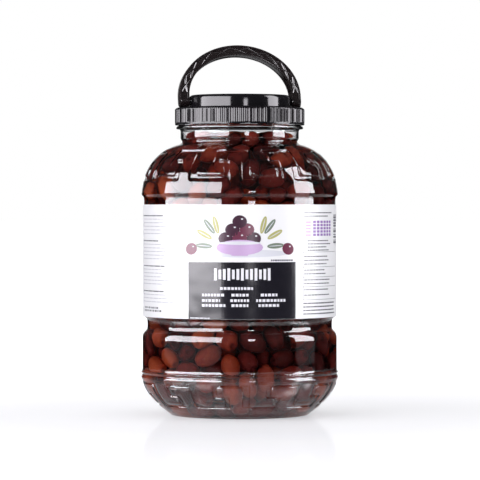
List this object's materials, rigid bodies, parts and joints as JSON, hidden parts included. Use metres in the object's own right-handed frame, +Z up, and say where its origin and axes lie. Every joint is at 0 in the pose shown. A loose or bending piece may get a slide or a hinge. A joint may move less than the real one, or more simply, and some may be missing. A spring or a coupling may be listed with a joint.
{
  "type": "jar of olives",
  "caption": "Clear plastic catering jar filled with pitted dark olives in brine, with a wrapped label and a black screw lid with a folding carry handle.",
  "frame": {"origin": "middle of the round foot, on the surface that the jar stands on", "axes": "+Z up along the jar's axis; the label's front faces -Y; the handle's pins lie 13.7 degrees round from the X axis"},
  "size_m": [0.1725, 0.1726, 0.324],
  "materials": {
    "clear_pet": "clear blown PET with a glossy surface",
    "olive_flesh": "wet red-brown olive skins",
    "label_paper": "white coated label with a slight gloss",
    "black_plastic": "glossy moulded black plastic",
    "black_handle_plastic": "glossy moulded black plastic"
  },
  "bodies": {
    "jar": {"jar": "clear_pet", "olives": "olive_flesh", "label": "label_paper", "lid": "black_plastic"},
    "handle": {"handle": "black_handle_plastic"}
  },
  "joints": [
    {"name": "handle_fold", "type": "hinge", "parent": "jar", "child": "handle", "pos_m": [0, 0, 0.2745], "axis": [0.9715, 0.2368, 0], "range_deg": [-60, 85.5]}
  ]
}
